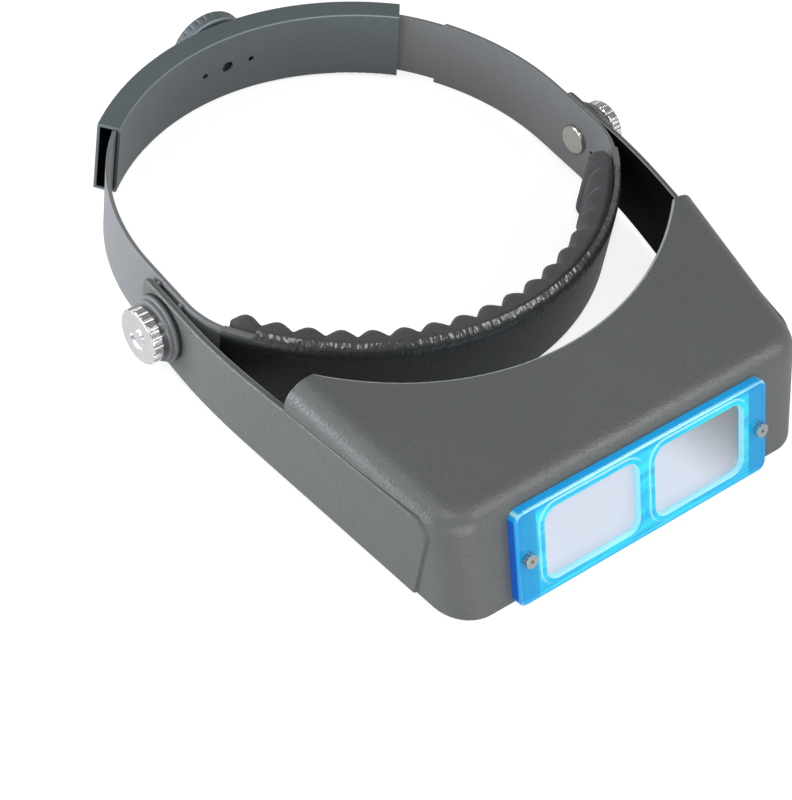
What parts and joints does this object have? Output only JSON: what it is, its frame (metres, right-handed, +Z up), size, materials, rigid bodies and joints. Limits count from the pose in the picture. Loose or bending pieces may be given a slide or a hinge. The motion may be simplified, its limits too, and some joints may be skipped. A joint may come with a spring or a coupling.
{
  "type": "head visor magnifier",
  "caption": "Hands-free magnifier worn on the head: a tilting hood with a swappable lens plate, on an adjustable padded headband.",
  "frame": {"origin": "midway between the two temple pivots, on the visor's tilting axis", "axes": "+Z up when worn upright, -Y forwards (the way the wearer looks), +X towards the wearer's left hand side seen from the front as right"},
  "size_m": [0.2204, 0.2721, 0.0474],
  "materials": {
    "visor_plastic": "moulded grey plastic with a fine leather grain",
    "sleeve_plastic": "satin dark blue-grey moulded plastic",
    "band_plastic": "smooth satin grey flexible strip",
    "pad_foam": "corrugated dark foam rubber",
    "pad_leatherette": "crinkled glossy leatherette",
    "pinion_plastic": "plain acetal",
    "steel": "plated steel",
    "nut_steel": "turned nickel-plated nut",
    "knob_chrome": "bright chrome with straight knurl",
    "ring_rubber": "black rubber",
    "washer_plastic": "grey moulded plastic",
    "lens_frame_plastic": "translucent blue plastic",
    "lens_acrylic": "polished clear optical acrylic"
  },
  "bodies": {
    "headband": {"band_front": "band_plastic", "comfort_pad": "pad_foam", "pad_cover": "pad_leatherette", "pivot_stud_left": "steel", "pivot_stud_right": "steel", "arm_spacer_left": "band_plastic", "arm_spacer_right": "band_plastic", "pressure_washer_left": "washer_plastic", "pressure_washer_right": "washer_plastic"},
    "visor": {"visor_shell": "visor_plastic", "friction_ring_left": "ring_rubber", "friction_ring_right": "ring_rubber", "lens_stud_left": "steel", "lens_stud_right": "steel"},
    "lens_plate": {"lens_frame": "lens_frame_plastic", "lens_left": "lens_acrylic", "lens_right": "lens_acrylic"},
    "lens_nut_left": {"lens_nut_left": "nut_steel"},
    "lens_nut_right": {"lens_nut_right": "nut_steel"},
    "thumb_knob_left": {"thumb_knob_left": "knob_chrome"},
    "thumb_knob_right": {"thumb_knob_right": "knob_chrome"},
    "sleeve": {"rear_sleeve": "sleeve_plastic", "knob_spring": "steel"},
    "size_knob": {"rear_knob": "sleeve_plastic", "pinion": "pinion_plastic", "knob_screw": "steel"},
    "tail_left": {"band_tail_left": "band_plastic"},
    "tail_right": {"band_tail_right": "band_plastic"}
  },
  "joints": [
    {"name": "visor_tilt", "type": "hinge", "parent": "headband", "child": "visor", "pos_m": [0, 0, 0], "axis": [-1, 0, 0], "range_deg": [-30, 80]},
    {"name": "thumb_knob_left_spin", "type": "hinge", "parent": "headband", "child": "thumb_knob_left", "pos_m": [-0.109, 0, 0], "axis": [-1, 0, 0], "continuous": true},
    {"name": "thumb_knob_right_spin", "type": "hinge", "parent": "headband", "child": "thumb_knob_right", "pos_m": [0.109, 0, 0], "axis": [1, 0, 0], "continuous": true},
    {"name": "lens_plate_slide", "type": "slide", "parent": "visor", "child": "lens_plate", "axis": [0, -0.9444, 0.3289], "range_m": [0, 0.012]},
    {"name": "lens_nut_left_spin", "type": "hinge", "parent": "lens_plate", "child": "lens_nut_left", "pos_m": [-0.054, -0.1474, -0.0034], "axis": [0, -0.9444, 0.3289], "continuous": true},
    {"name": "lens_nut_right_spin", "type": "hinge", "parent": "lens_plate", "child": "lens_nut_right", "pos_m": [0.054, -0.1474, -0.0034], "axis": [0, -0.9444, 0.3289], "continuous": true},
    {"name": "size_slide", "type": "slide", "parent": "headband", "child": "sleeve", "axis": [0, -1, 0], "range_m": [0, 0.008]},
    {"name": "size_knob_turn", "type": "hinge", "parent": "sleeve", "child": "size_knob", "pos_m": [0, 0.112, 0.0006], "axis": [0, -1, 0], "range_deg": [0, 72]},
    {"name": "tail_left_bend", "type": "hinge", "parent": "headband", "child": "tail_left", "pos_m": [-0.09525, 0.0092, 0], "axis": [0, 0, -1], "range_deg": [0, 5]},
    {"name": "tail_right_bend", "type": "hinge", "parent": "headband", "child": "tail_right", "pos_m": [0.09525, 0.0092, 0], "axis": [0, 0, 1], "range_deg": [0, 5]}
  ],
  "couplings": [
    {"joint": "size_knob_turn", "follows": "size_slide", "rad_per_m": 154.1},
    {"joint": "tail_left_bend", "follows": "size_slide", "rad_per_m": 10.5},
    {"joint": "tail_right_bend", "follows": "size_slide", "rad_per_m": 10.5}
  ]
}
